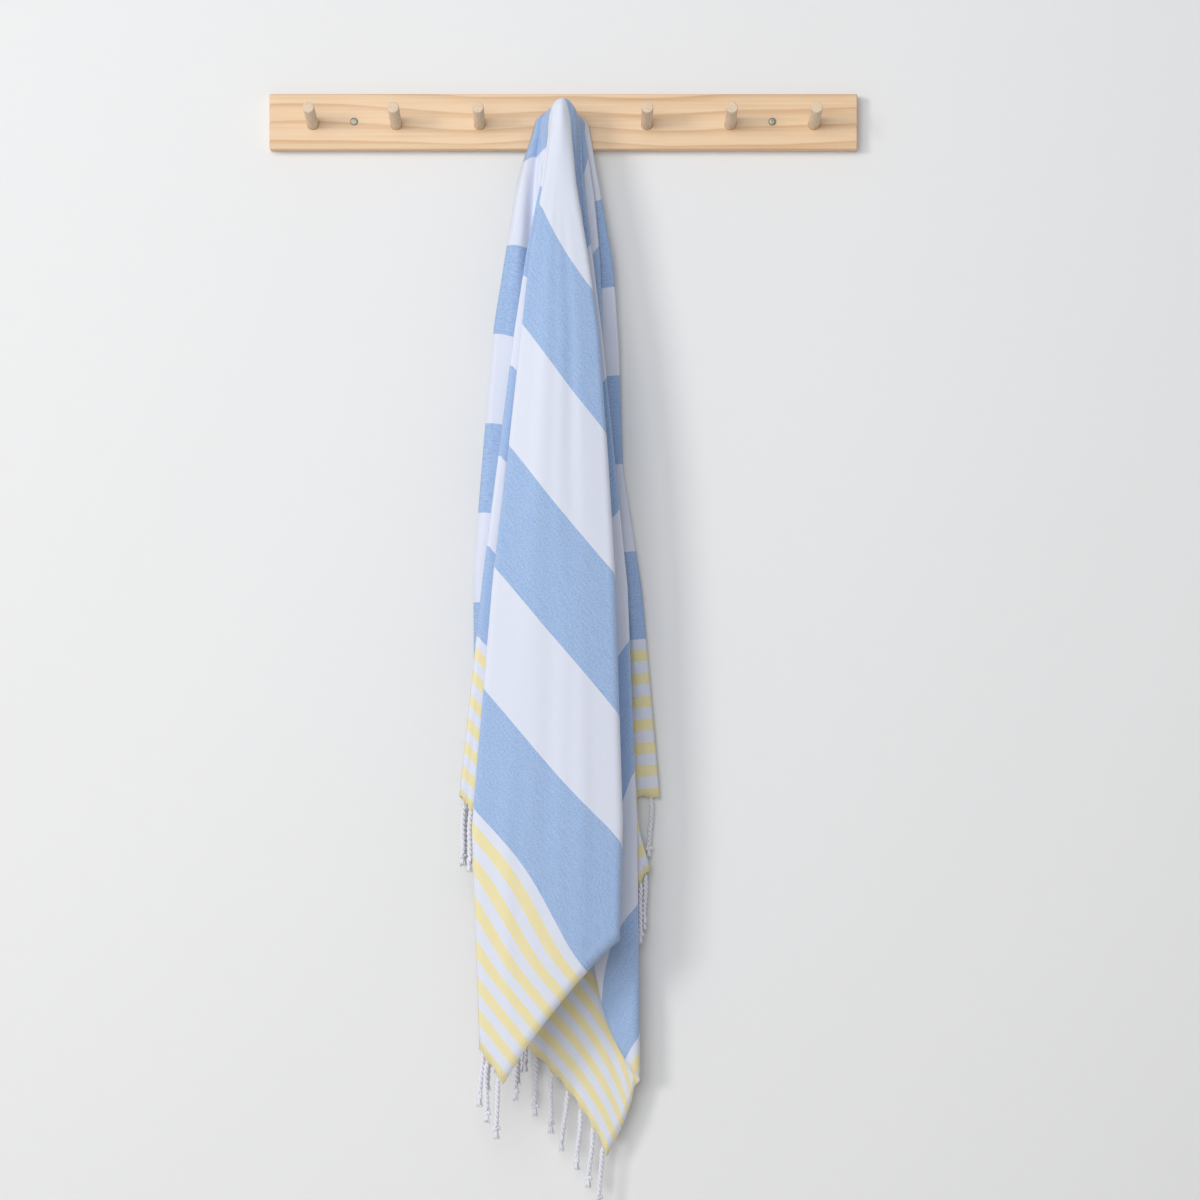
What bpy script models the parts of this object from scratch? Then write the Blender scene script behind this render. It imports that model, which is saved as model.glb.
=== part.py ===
"""A striped cotton towel thrown over the middle peg of a wall rail.

The frame is +Z up, with the wall at y = 0 and the object in front of it, towards -Y.
The origin is the centre of the board's back face. Lengths are metres, and the tables are in millimetres.

The towel is a flat sheet of width and length, hung from a point near the middle of one long edge. Every
line that leaves the peg hangs almost straight down, so the sheet is a fan of such lines: a line is known by
its angle in the cloth, 0 degrees along the long edge to the left and 180 degrees along it to the right.
The fan is pleated. FOLDS has a row for each pleat, with its angle in the cloth and its place in the room.
"""
import math
from collections import namedtuple

import bmesh
import bpy
import numpy as np

MM = 0.001
FIT_GAP = 0.3 * MM

# The rail
BOARD_WIDTH = 0.720
BOARD_HEIGHT = 0.068
BOARD_DEPTH = 0.019
BOARD_EDGE_RADIUS = 1.5 * MM
PEG_COUNT = 7
PEG_PITCH = 0.1022
PEG_RADIUS = 7 * MM
PEG_REACH = 63 * MM
PEG_SOCKET_DEPTH = 12 * MM
PEG_TILT = math.radians(10.5)
PEG_BASE_Z = -3 * MM
PEG_CHAMFER = 1.2 * MM
PEG_SIDES = 18
SCREW_X = 0.256
SCREW_HEAD_RADIUS = 4.6 * MM
SCREW_DOME = 1.2 * MM
SCREW_CONE_DEPTH = 3 * MM
SCREW_SHANK_RADIUS = 2 * MM
SCREW_RECESS_WIDTH = 1.1 * MM
SCREW_RECESS_DEPTH = 1.6 * MM
SCREW_SIDES = 16
CUTTER_REACH = 20 * MM

# The towel, as woven
CLOTH_WIDTH = 1.00
CLOTH_LENGTH = 1.80
CLOTH_THICKNESS = 1.2 * MM
RIDGE_BACK = (0.0, 0.942)
RIDGE_FRONT = (0.100, 0.846)

# The crest, where the cloth lies over the peg
CREST_BACK_Y = -23 * MM
CREST_FRONT_Y = -78 * MM
CREST_LIFT_BACK = 9.6 * MM
CREST_LIFT_FRONT = 11.4 * MM
CREST_FALL = 16 * MM
CREST_ROWS = (0.28, 0.5, 0.75)
START_RADIUS = 0.031

# A row for each pleat, from the left selvedge to the right one.
# angle, spread: the fold's angle in the cloth is angle + spread / (radius + SPREAD_OFFSET), in degrees.
# flare: degrees that the angle gains towards the fold's lower end.
# crest, ridge: where the fold starts along the ridge, 0 at the wall and 1 at the peg's tip, and where
# the line of its hanging part would start.
# top: depth of the fold at the peg.
# layer, low: depth of the cloth that follows the fold, as it hangs and at its lowest end.
# slack: length that creases take up between START_RADIUS and SLACK_END.
# gather: share of the fall that small creases take up once past GATHER_RADII.
# x30 to x1250: place across, at these distances from the peg.
Fold = namedtuple("Fold", "name side angle spread flare crest ridge top layer low slack gather "
                          "x30 x120 x200 x300 x450 x600 x900 x1250")
SPREAD_OFFSET = 0.090
SLACK_END = 0.100
RADII = (0.030, 0.120, 0.200, 0.300, 0.450, 0.600, 0.900, 1.250)
FOLDS = [
    Fold("selvedge_left", -1, 0, 0, 0, 0, 0, -36, -76, -76, 12, 0, -34, -54, -67, -83, -96, -108, -106, -100),
    Fold("left_return", 1, 3, 2, 0, 0.3, 0.05, -58, -85, -85, 10, 0, -20, -12, -4, 4, 21, 38, 50, 50),
    Fold("left_roll", -1, 9, 3.8, 0, 1, 1, -70, -94, -94, 0, 0, -13, -27, -43, -58, -77, -96, -128, -128),
    Fold("left_tuck", 1, 28, 1.6, 0, 1, 1, -77, -105, -104, 0, 0.15, -14, -6, -3, 0, 12, 24, 46, 50),
    Fold("front_left", -1, 42.2, 0, 2.5, 1, 1, -84, -118, -112, 0, 0.055, -12, -23, -38, -49, -65, -83, -108, -97),
    Fold("front_right", 1, 49.2, 5.55, 3, 1, 1, -84, -62, -68, 0, 0.19, 8, 16, 29, 43, 54, 63, 72, 64),
    Fold("inner_1", -1, 63.3, 4.44, 1, 1, 1, -79, -58, -63, 0, 0.12, 13, 3, -8, -22, -36, -50, -70, -60),
    Fold("inner_2", 1, 77.4, 3.33, 0, 1, 1, -73, -54, -59, 0, 0, 15, 18, 24, 30, 39, 48, 62, 54),
    Fold("inner_3", -1, 91.4, 2.22, 0, 1, 1, -67, -50, -55, 0, 0, 17, 3, -7, -20, -36, -52, -70, -60),
    Fold("inner_4", 1, 105.4, 1.11, 0, 1, 1, -61, -46, -51, 0, 0, 17, 21, 27, 32, 41, 50, 66, 66),
    Fold("right_left", -1, 119.5, 0, 0, 1, 1, -55, -41, -46, 0, 0, 18, 5, -5, -18, -35, -52, 20, 46),
    Fold("right_roll", 1, 132.8, -1.7, 0, 1, 1, -49, -34, -32, 0, 0, 20, 26, 36, 48, 63, 78, 90, 94),
    Fold("corner_fold", -1, 144, 0, 0, 1, 1, -44, -26, -25, 0, 0.09, 21, 8, -5, -22, -34, -46, -80, -60),
    Fold("right_tuck", 1, 160, 0, 0, 0.6, 0.5, -38, -18, -18, 0, 0.1, 24, 38, 45, 48, 55, 74, 92, 180),
    Fold("right_return", -1, 170, 0, 0, 0.12, 0.02, -31, -10, -10, 0, 0, 27, 18, 10, 2, -13, -28, -44, -44),
    Fold("selvedge_right", 1, 180, 0, 0, 0, 0, -24, -10, -10, 0, 0, 31, 47, 61, 68, 73, 96, 122, 124),
]
LAYER_CENTRE = -60
# How far a layer swells between its folds, in millimetres.
BULGE = {"front_left": -9, "left_roll": -2, "right_return": 2}
# A layer's roll towards the fold before it: a power, the radii between which it sets in, and the share of
# the layer that stays evenly spread. A negative power rolls it towards the fold after it.
ROLL = {"left_roll": (0.60, 0.15, 0.40, 0.0), "front_left": (0.05, 0.80, 1.05, 0.0),
        "right_left": (3.50, 0.85, 1.00, 0.25), "right_roll": (0.55, 0.80, 1.15, 0.0),
        "right_return": (-0.35, 0.50, 0.80, 0.0)}
# The share of a turn's depth that lies in front of the fold's edge, where it isn't half.
FRONT_SHARE = {"front_right": 0.14}
TURN_WIDTH = 14 * MM
# The quarter ellipse of a turn, as a share of its two half axes, and the most of a layer that a turn takes.
QUARTER_ARC = 0.78
WIDEST_ARC = 0.42
# How far the front layer stands out over the peg's tip.
CREST_SWELL = 9 * MM
# The share of its depth that a layer has near the peg.
NEAR_DEPTH = 0.72
# A step of a line falls at least this share of its square.
LEAST_FALL = 0.1
ROW_POWER = 1.2
EVEN_POWER = 4
# Distances from the peg between which the folds' starts, the even spacing, the free fall, the swelling of
# the layers, their depth, the flare, the gathering and the lowest depth set in.
RIDGE_RADII = (0.04, 0.25)
EVEN_RADII = (0.05, 0.25)
HANGS_FREE = (0.035, 0.15)
SWELL_RADII = (0.05, 0.4)
SPREADS_OUT = (0.18, 0.5)
FLARE_RADII = (0.9, 1.1)
GATHER_RADII = (0.75, 0.95)
LOW_RADII = (0.85, 1.15)
ROW_COUNT = 20
# Lines across a layer, close together where it turns.
SHARES_BEFORE = (0.0, 0.04, 0.12)
SHARES_AFTER = (0.88, 0.96)
# A line is followed down in steps of about this length.
STEP_LENGTH = 0.01

# The fringe
STRAND_PITCH = 30 * MM
STRAND_LENGTH = 76 * MM
STRIP_HEIGHT = 3 * MM
STRIP_THICKNESS = 1.6 * MM
STRIP_GAP = 0.8 * MM
ROOT_DROP = 2 * MM
HEM_SMOOTHING = 8 * MM
MAX_STEEPNESS = 3.0
# A strand hangs at least this far along the hem from a fold.
STRAND_CLEARANCE = 12 * MM
STRAND_TWIST = math.radians(50)
STRAND_TURN = 0.7
# A strand's half width at each share of its length: bundled threads, twisted yarn, knot and frayed tuft.
STRAND_PROFILE = ((0.0, 0.7), (0.09, 3.0), (0.80, 3.2), (0.86, 4.0), (0.91, 2.6), (1.0, 4.0))


def clear_scene():
    for obj in list(bpy.data.objects):
        bpy.data.objects.remove(obj, do_unlink=True)


def make_collection(name):
    collection = bpy.data.collections.new(name)
    bpy.context.scene.collection.children.link(collection)
    return collection


def make_material(name, colour, roughness, metallic=0.0):
    material = bpy.data.materials.new(name)
    material.use_nodes = True
    shader = material.node_tree.nodes["Principled BSDF"]
    shader.inputs["Base Color"].default_value = (*colour, 1.0)
    shader.inputs["Roughness"].default_value = roughness
    shader.inputs["Metallic"].default_value = metallic
    return material


def add_object(name, bm, collection, material=None):
    """Turn a bmesh into an object of the given collection."""
    mesh = bpy.data.meshes.new(name)
    bm.normal_update()
    bm.to_mesh(mesh)
    bm.free()
    obj = bpy.data.objects.new(name, mesh)
    collection.objects.link(obj)
    if material is not None:
        mesh.materials.append(material)
    return obj


def smoothstep(low, high, value):
    share = min(max((value - low) / (high - low), 0.0), 1.0)
    return share * share * (3.0 - 2.0 * share)


# The towel's flat shape

def ridge_point(share):
    """The cloth's width and length at a share of the way along the ridge that lies on the peg."""
    back, front = np.array(RIDGE_BACK), np.array(RIDGE_FRONT)
    return back + (front - back) * share


def fold_angle(fold, radius):
    return fold.angle + fold.spread / (radius + SPREAD_OFFSET) + fold.flare * smoothstep(*FLARE_RADII, radius)


def fold_ridge(fold, radius):
    return fold.ridge + (fold.crest - fold.ridge) * (1.0 - smoothstep(*RIDGE_RADII, radius))


def cloth_point(panel, share, radius):
    """Width and length in the cloth, at a share of the way across a panel and a distance from the ridge."""
    first, second = FOLDS[panel], FOLDS[panel + 1]
    start_ridge = fold_ridge(first, radius)
    origin = ridge_point(start_ridge + (fold_ridge(second, radius) - start_ridge) * share)
    start_angle = fold_angle(first, radius)
    angle = math.radians(start_angle + (fold_angle(second, radius) - start_angle) * share)
    return origin + radius * np.array([math.sin(angle), -math.cos(angle)])


def reach(panel, share):
    """Distance from the ridge at which a line leaves the cloth."""
    low, high = 0.5, 1.5
    for _ in range(40):
        middle = 0.5 * (low + high)
        width, length = cloth_point(panel, share, middle)
        if width < CLOTH_WIDTH and 0.0 < length < CLOTH_LENGTH:
            low = middle
        else:
            high = middle
    return low


def corner_share(panel, length):
    """Share across a panel of the line that ends in the far corner at the given length."""
    origin = ridge_point(FOLDS[panel].ridge)
    across, along = CLOTH_WIDTH - origin[0], length - origin[1]
    radius = math.hypot(across, along)
    angle = math.degrees(math.atan2(across, -along))
    start_angle = fold_angle(FOLDS[panel], radius)
    return (angle - start_angle) / (fold_angle(FOLDS[panel + 1], radius) - start_angle)


# The towel as it hangs

def fold_across(fold, radius):
    places = (fold.x30, fold.x120, fold.x200, fold.x300, fold.x450, fold.x600, fold.x900, fold.x1250)
    return float(np.interp(radius, RADII, places)) * MM


def layer_depth(fold, radius):
    """Depth of the layer of cloth that follows a fold."""
    hang = LAYER_CENTRE + (fold.layer - LAYER_CENTRE) * (NEAR_DEPTH + (1.0 - NEAR_DEPTH) * smoothstep(*SPREADS_OUT, radius))
    low = fold.low + (hang - fold.layer)
    return (hang + (low - hang) * smoothstep(*LOW_RADII, radius)) * MM


def turn_depths(index, radius):
    """Depth of a fold's turn on its front side and on its back side, counted from the fold's edge."""
    if index == 0 or index == len(FOLDS) - 1:
        return 0.0, 0.0
    depth = layer_depth(FOLDS[index], radius) - layer_depth(FOLDS[index - 1], radius)
    front = FRONT_SHARE.get(FOLDS[index].name, 0.5) * depth
    return front, depth - front


def plan_point(panel, share, radius):
    """Place across and in depth of a point of the cloth, seen from above."""
    first, second = FOLDS[panel], FOLDS[panel + 1]
    x_first, x_second = fold_across(first, radius), fold_across(second, radius)
    layer = layer_depth(first, radius)
    flat = np.linalg.norm(cloth_point(panel, 0.0, radius) - cloth_point(panel, 1.0, radius))
    turns = [turn_depths(panel, radius)[1], -turn_depths(panel + 1, radius)[0]]
    widths = [min(abs(turn), TURN_WIDTH) for turn in turns]
    arcs = [min(QUARTER_ARC * (abs(turn) + width), WIDEST_ARC * flat) for turn, width in zip(turns, widths)]
    along = share * flat
    x_start = x_first - first.side * widths[0]
    x_end = x_second - second.side * widths[1]
    if arcs[0] > 0 and along < arcs[0]:
        phase = 0.5 * math.pi * along / arcs[0]
        hung = (x_start + first.side * widths[0] * math.cos(phase), layer - turns[0] * (1 - math.sin(phase)))
    elif arcs[1] > 0 and flat - along < arcs[1]:
        phase = 0.5 * math.pi * (flat - along) / arcs[1]
        hung = (x_end + second.side * widths[1] * math.cos(phase), layer - turns[1] * (1 - math.sin(phase)))
    else:
        run = (along - arcs[0]) / (flat - arcs[0] - arcs[1])
        bulge = BULGE.get(first.name, 0.0) * MM * math.sin(math.pi * run) * smoothstep(*SWELL_RADII, radius)
        if first.name in ROLL:
            roll, sets_in, full, even = ROLL[first.name]
            rolled = run ** (1.0 + roll * smoothstep(sets_in, full, radius))
            run = even * run + (1.0 - even) * rolled
        hung = (x_start + (x_end - x_start) * run, layer + bulge)
    depth = (first.top + (second.top - first.top) * share) * MM
    if first.name == "front_left":
        depth -= CREST_SWELL * math.sin(math.pi * share)
    near = (x_first + (x_second - x_first) * share, depth)
    blend = smoothstep(*HANGS_FREE, radius)
    return np.array(near) * (1.0 - blend) + np.array(hung) * blend


def peg_axis_z(y):
    return PEG_BASE_Z + (-y - BOARD_DEPTH) * math.tan(PEG_TILT)


def crest_z(y):
    """Height of the crest, which rests on the peg at the back and clears the rim of its tip."""
    share = (y - CREST_BACK_Y) / (CREST_FRONT_Y - CREST_BACK_Y)
    return peg_axis_z(y) + CREST_LIFT_BACK + (CREST_LIFT_FRONT - CREST_LIFT_BACK) * share


def fall_share(panel, share, radius):
    """How much of a length of cloth is left for its fall, when small creases have taken up theirs."""
    first, second = FOLDS[panel], FOLDS[panel + 1]
    gather = first.gather + (second.gather - first.gather) * share
    left = 1.0 - gather * smoothstep(*GATHER_RADII, radius)
    if radius < SLACK_END:
        slack = first.slack + (second.slack - first.slack) * share
        left -= slack * MM / (SLACK_END - START_RADIUS)
    return left


def spread_share(share, radius):
    """The share across a panel that a line has near the crest, where the lines stand evenly apart."""
    offset = 2.0 * share - 1.0
    even = 0.5 + 0.5 * offset * abs(offset) ** EVEN_POWER
    return even + (share - even) * smoothstep(*EVEN_RADII, radius)


def column_points(panel, share, row_count):
    """One line of the cloth in the room, from the crest down to the cloth's edge."""
    start = plan_point(panel, spread_share(share, START_RADIUS), START_RADIUS)
    foot = np.array([0.0, min(max(start[1], CREST_FRONT_Y), CREST_BACK_Y)])
    top = crest_z(foot[1])
    points = []
    for part in CREST_ROWS:
        phase = 0.5 * math.pi * part
        place = foot + (start - foot) * math.sin(phase)
        points.append((place[0], place[1], top - CREST_FALL * (1.0 - math.cos(phase))))
    end = reach(panel, share)
    height = top - CREST_FALL
    radius = START_RADIUS
    place = start
    points.append((place[0], place[1], height))
    for row in range(1, row_count + 1):
        goal = START_RADIUS + (end - START_RADIUS) * (row / row_count) ** ROW_POWER
        steps = max(int((goal - radius) / STEP_LENGTH), 1)
        step = (goal - radius) / steps
        for _ in range(steps):
            radius += step
            moved = plan_point(panel, spread_share(share, radius), radius)
            sideways = float(np.linalg.norm(moved - place))
            fall = math.sqrt(max(step * step - sideways * sideways, LEAST_FALL * step * step))
            height -= fall * fall_share(panel, share, radius)
            place = moved
        points.append((place[0], place[1], height))
    return points


def cloth_columns():
    """Panel and share of each line of the sheet, with one line through each far corner."""
    columns = []
    for panel in range(len(FOLDS) - 1):
        middle = [0.5]
        if FOLDS[panel].name == "front_left":
            middle = [corner_share(panel, 0.0), 0.62]
        if FOLDS[panel].name == "right_roll":
            middle = [corner_share(panel, CLOTH_LENGTH)]
        for share in (*SHARES_BEFORE, *middle, *SHARES_AFTER):
            columns.append((panel, share))
    columns.append((len(FOLDS) - 2, 1.0))
    return columns


def hang_cloth():
    """All the lines of the sheet, as an array of columns and rows, with the columns' places in the cloth."""
    columns = cloth_columns()
    grid = np.array([column_points(panel, share, ROW_COUNT) for panel, share in columns])
    ends = np.array([cloth_point(panel, share, reach(panel, share)) for panel, share in columns])
    return grid, ends


def make_towel(collection, material, grid):
    bm = bmesh.new()
    verts = [[bm.verts.new(point) for point in column] for column in grid]
    for left, right in zip(verts, verts[1:]):
        for row in range(len(left) - 1):
            bm.faces.new((left[row], left[row + 1], right[row + 1], right[row]))
    crest = bm.faces.new([column[0] for column in verts])
    bmesh.ops.triangulate(bm, faces=[crest])
    bmesh.ops.recalc_face_normals(bm, faces=bm.faces)
    obj = add_object("towel", bm, collection, material)
    shell = obj.modifiers.new("thickness", "SOLIDIFY")
    shell.thickness = CLOTH_THICKNESS
    shell.offset = 0.0
    shell.use_quality_normals = True
    obj.data.shade_smooth()
    return obj


# The fringe

def hem_frames(grid, picked):
    """Along a hem: its points, the way down from each, and the way across the cloth's thickness.

    The way down is longer where the hem is steep, so that a strip below it keeps its height and its gap.
    """
    edge = grid[picked, -1]
    run = np.concatenate([[0.0], np.cumsum(np.linalg.norm(np.diff(edge, axis=0), axis=1))])
    ahead, behind = ([np.interp(run + way * HEM_SMOOTHING, run, edge[:, axis]) for axis in range(3)]
                     for way in (1.0, -1.0))
    tangent = (np.array(ahead) - np.array(behind)).T
    length = np.linalg.norm(tangent, axis=1)
    level = np.linalg.norm(tangent[:, :2], axis=1)
    down = np.zeros_like(edge)
    down[:, 2] = -np.minimum(length / level, MAX_STEEPNESS)
    across = np.stack([-tangent[:, 1], tangent[:, 0], np.zeros(len(edge))], axis=1) / level[:, None]
    return edge, down, across


def make_strip(bm, edge, down, across):
    """The narrow strip that the strands' roots are fused into."""
    half = 0.5 * STRIP_THICKNESS
    near, far = STRIP_GAP, STRIP_GAP + STRIP_HEIGHT
    rings = []
    for point, way, side in zip(edge, down, across):
        corners = [point + way * near + side * half, point + way * far + side * half,
                   point + way * far - side * half, point + way * near - side * half]
        rings.append([bm.verts.new(corner) for corner in corners])
    for first, second in zip(rings, rings[1:]):
        for k in range(4):
            bm.faces.new((first[k], first[(k + 1) % 4], second[(k + 1) % 4], second[k]))
    bm.faces.new(rings[0])
    bm.faces.new(reversed(rings[-1]))


def make_strand(bm, root, angle):
    """A twisted strand of four sides that hangs from its root, with a knot near its end."""
    rings = []
    for share, half in STRAND_PROFILE:
        turn = angle + share * STRAND_TWIST
        ring = []
        for corner in range(4):
            phase = turn + 0.5 * math.pi * corner
            ring.append(bm.verts.new((root[0] + half * MM * math.cos(phase),
                                      root[1] + half * MM * math.sin(phase),
                                      root[2] - share * STRAND_LENGTH)))
        rings.append(ring)
    for first, second in zip(rings, rings[1:]):
        for k in range(4):
            bm.faces.new((first[k], first[(k + 1) % 4], second[(k + 1) % 4], second[k]))
    bm.faces.new(rings[0])
    bm.faces.new(reversed(rings[-1]))


def strand_places(picked, ends):
    """Places along the hem for the strands, moved off the folds, where the layers lie close."""
    columns = cloth_columns()
    folds = [ends[k, 0] for k in picked if columns[k][1] in (0.0, 1.0)]
    count = round(CLOTH_WIDTH / STRAND_PITCH)
    places = []
    for k in range(count):
        place = (k + 0.5) * CLOTH_WIDTH / count
        nearest = min(folds, key=lambda fold: abs(fold - place))
        if abs(place - nearest) < STRAND_CLEARANCE:
            place = nearest + math.copysign(STRAND_CLEARANCE, place - nearest)
        places.append(place)
    return places


def make_fringe(name, collection, cutters, material, grid, ends, length):
    """A fringe along the hem at the given length of the cloth."""
    picked = np.where(np.abs(ends[:, 1] - length) < 1e-4)[0]
    edge, down, across = hem_frames(grid, picked)
    widths = ends[picked, 0]
    order = np.argsort(widths)
    bm = bmesh.new()
    make_strip(bm, edge, down, across)
    bmesh.ops.recalc_face_normals(bm, faces=bm.faces)
    strip = add_object(name, bm, collection, material)
    bm = bmesh.new()
    for number, place in enumerate(strand_places(picked, ends)):
        root = np.array([np.interp(place, widths[order], edge[order, axis] + ROOT_DROP * down[order, axis])
                         for axis in range(3)])
        make_strand(bm, root, STRAND_TURN * number)
    bmesh.ops.recalc_face_normals(bm, faces=bm.faces)
    strands = add_object(name + "_strands", bm, cutters)
    hide_cutter(strands)
    join = strip.modifiers.new("strands", "BOOLEAN")
    join.operation = "UNION"
    join.object = strands
    return strip


# The rail

def hide_cutter(cutter):
    cutter.hide_render = True
    cutter.display_type = "WIRE"


def cut(body, cutter):
    """Take a cutter's shape out of a body."""
    hide_cutter(cutter)
    hole = body.modifiers.new(cutter.name, "BOOLEAN")
    hole.operation = "DIFFERENCE"
    hole.object = cutter


def make_box(name, size, collection, material=None):
    bm = bmesh.new()
    bmesh.ops.create_cube(bm, size=1.0)
    bmesh.ops.scale(bm, vec=size, verts=bm.verts)
    return add_object(name, bm, collection, material)


def make_turned(name, profile, sides, collection, material=None):
    """A turned shape: pairs of radius and height, from the top down, swept round Z. It points out of the wall."""
    mesh = bpy.data.meshes.new(name)
    verts = [(0.0, 0.0, profile[0][1])]
    verts += [(radius, 0.0, height) for radius, height in profile]
    verts.append((0.0, 0.0, profile[-1][1]))
    mesh.from_pydata(verts, [(k, k + 1) for k in range(len(verts) - 1)], [])
    obj = bpy.data.objects.new(name, mesh)
    collection.objects.link(obj)
    if material is not None:
        mesh.materials.append(material)
    sweep = obj.modifiers.new("turn", "SCREW")
    sweep.steps = sides
    sweep.render_steps = sides
    sweep.use_merge_vertices = True
    sweep.merge_threshold = 0.00001
    obj.rotation_euler = (math.radians(90), 0.0, 0.0)
    return obj


def peg_x(index):
    return (index - (PEG_COUNT - 1) / 2) * PEG_PITCH


def place_peg(obj, index):
    """Put a peg, or its socket, on the board's face, tilted up."""
    obj.location = (peg_x(index), -BOARD_DEPTH, PEG_BASE_Z)
    obj.rotation_euler = (math.radians(90) - PEG_TILT, 0.0, 0.0)


def make_peg(index, collection, material):
    tip = PEG_REACH
    profile = [(PEG_RADIUS - PEG_CHAMFER, tip), (PEG_RADIUS - 0.35 * PEG_CHAMFER, tip - 0.35 * PEG_CHAMFER),
               (PEG_RADIUS, tip - PEG_CHAMFER), (PEG_RADIUS, -PEG_SOCKET_DEPTH)]
    peg = make_turned(f"peg_{index + 1}", profile, PEG_SIDES, collection, material)
    place_peg(peg, index)
    return peg


def screw_profile(gap, top):
    """A countersunk head and its shank, up to the wall face. With a gap it is the hole for them."""
    wall = -BOARD_DEPTH - gap
    if not gap:
        wall += 0.5 * MM
    return [*top, (SCREW_HEAD_RADIUS + gap, -gap),
            (SCREW_SHANK_RADIUS + gap, -SCREW_CONE_DEPTH - gap), (SCREW_SHANK_RADIUS + gap, wall)]


def make_screw(label, x, collection, cutters, material):
    dome = [(0.4 * SCREW_HEAD_RADIUS, SCREW_DOME), (0.8 * SCREW_HEAD_RADIUS, 0.7 * SCREW_DOME)]
    screw = make_turned(f"screw_{label}", screw_profile(0.0, dome), SCREW_SIDES, collection, material)
    screw.location = (x, -BOARD_DEPTH, 0.0)
    for number, turn in ((1, 40), (2, 130)):
        size = (1.1 * SCREW_HEAD_RADIUS, 2 * SCREW_RECESS_DEPTH, SCREW_RECESS_WIDTH)
        slot = make_box(f"screw_{label}_slot_{number}", size, cutters)
        slot.location = (x, -BOARD_DEPTH - SCREW_DOME, 0.0)
        slot.rotation_euler = (0.0, math.radians(turn), 0.0)
        cut(screw, slot)
    return screw


def make_board(collection, cutters, material):
    board = make_box("board", (BOARD_WIDTH, BOARD_DEPTH, BOARD_HEIGHT), collection, material)
    board.location = (0.0, -0.5 * BOARD_DEPTH, 0.0)
    edges = board.modifiers.new("edges", "BEVEL")
    edges.width = BOARD_EDGE_RADIUS
    edges.segments = 2
    for index in range(PEG_COUNT):
        profile = [(PEG_RADIUS + FIT_GAP, CUTTER_REACH), (PEG_RADIUS + FIT_GAP, -PEG_SOCKET_DEPTH - FIT_GAP)]
        socket = make_turned(f"socket_{index + 1}", profile, PEG_SIDES, cutters)
        place_peg(socket, index)
        cut(board, socket)
    for side, label in ((-1, "left"), (1, "right")):
        top = [(SCREW_HEAD_RADIUS + FIT_GAP, CUTTER_REACH)]
        hole = make_turned(f"screw_hole_{label}", screw_profile(FIT_GAP, top), SCREW_SIDES, cutters)
        hole.location = (side * SCREW_X, -BOARD_DEPTH, 0.0)
        cut(board, hole)
    return board


def main():
    clear_scene()
    parts = make_collection("towel_on_hook")
    cutters = make_collection("cutters")
    cotton = make_material("woven_cotton", (0.62, 0.73, 0.89), 0.9)
    yarn = make_material("cotton_yarn", (0.85, 0.86, 0.90), 0.9)
    pine = make_material("pine", (0.76, 0.53, 0.31), 0.55)
    beech = make_material("beech", (0.72, 0.55, 0.39), 0.5)
    steel = make_material("zinc_steel", (0.42, 0.45, 0.38), 0.35, 0.9)
    grid, ends = hang_cloth()
    make_towel(parts, cotton, grid)
    make_fringe("fringe_left", parts, cutters, yarn, grid, ends, 0.0)
    make_fringe("fringe_right", parts, cutters, yarn, grid, ends, CLOTH_LENGTH)
    make_board(parts, cutters, pine)
    for index in range(PEG_COUNT):
        make_peg(index, parts, beech)
    for side, label in ((-1, "left"), (1, "right")):
        make_screw(label, side * SCREW_X, parts, cutters, steel)


main()
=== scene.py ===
# %% [markdown]
# # A striped towel on a peg rail
# The towel is a flat woven cloth, 1.00 m wide and 1.80 m long, thrown over the middle peg of a pine rail.
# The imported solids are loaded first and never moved. Everything below is in the same frame, in metres:
# the wall is at y = 0, the object stands in front of it towards -Y, and Z is up.

# %% Load the solids
import math
from collections import namedtuple

import bmesh
import bpy
import numpy as np
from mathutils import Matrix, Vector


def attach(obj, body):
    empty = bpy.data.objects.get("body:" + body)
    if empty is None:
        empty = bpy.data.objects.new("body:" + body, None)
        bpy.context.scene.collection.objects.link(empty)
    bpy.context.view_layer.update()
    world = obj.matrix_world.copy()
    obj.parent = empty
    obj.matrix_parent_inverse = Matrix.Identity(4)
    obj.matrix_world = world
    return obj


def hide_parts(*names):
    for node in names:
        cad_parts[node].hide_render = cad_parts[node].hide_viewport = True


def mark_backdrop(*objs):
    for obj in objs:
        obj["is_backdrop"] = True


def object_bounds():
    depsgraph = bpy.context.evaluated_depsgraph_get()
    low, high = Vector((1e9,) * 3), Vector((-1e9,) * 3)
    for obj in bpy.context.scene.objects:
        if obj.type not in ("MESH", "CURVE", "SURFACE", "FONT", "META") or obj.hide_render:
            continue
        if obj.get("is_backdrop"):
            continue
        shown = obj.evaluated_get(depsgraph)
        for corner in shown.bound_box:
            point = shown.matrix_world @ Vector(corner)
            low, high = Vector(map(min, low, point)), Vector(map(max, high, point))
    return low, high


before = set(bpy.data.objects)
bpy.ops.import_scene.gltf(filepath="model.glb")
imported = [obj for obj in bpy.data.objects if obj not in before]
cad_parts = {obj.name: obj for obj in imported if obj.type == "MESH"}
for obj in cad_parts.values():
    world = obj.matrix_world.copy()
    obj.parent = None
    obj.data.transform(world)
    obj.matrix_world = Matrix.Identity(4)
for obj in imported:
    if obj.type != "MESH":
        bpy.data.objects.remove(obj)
solid_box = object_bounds()
MM = 0.001
print("solids:", ", ".join(sorted(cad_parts)))


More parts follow.
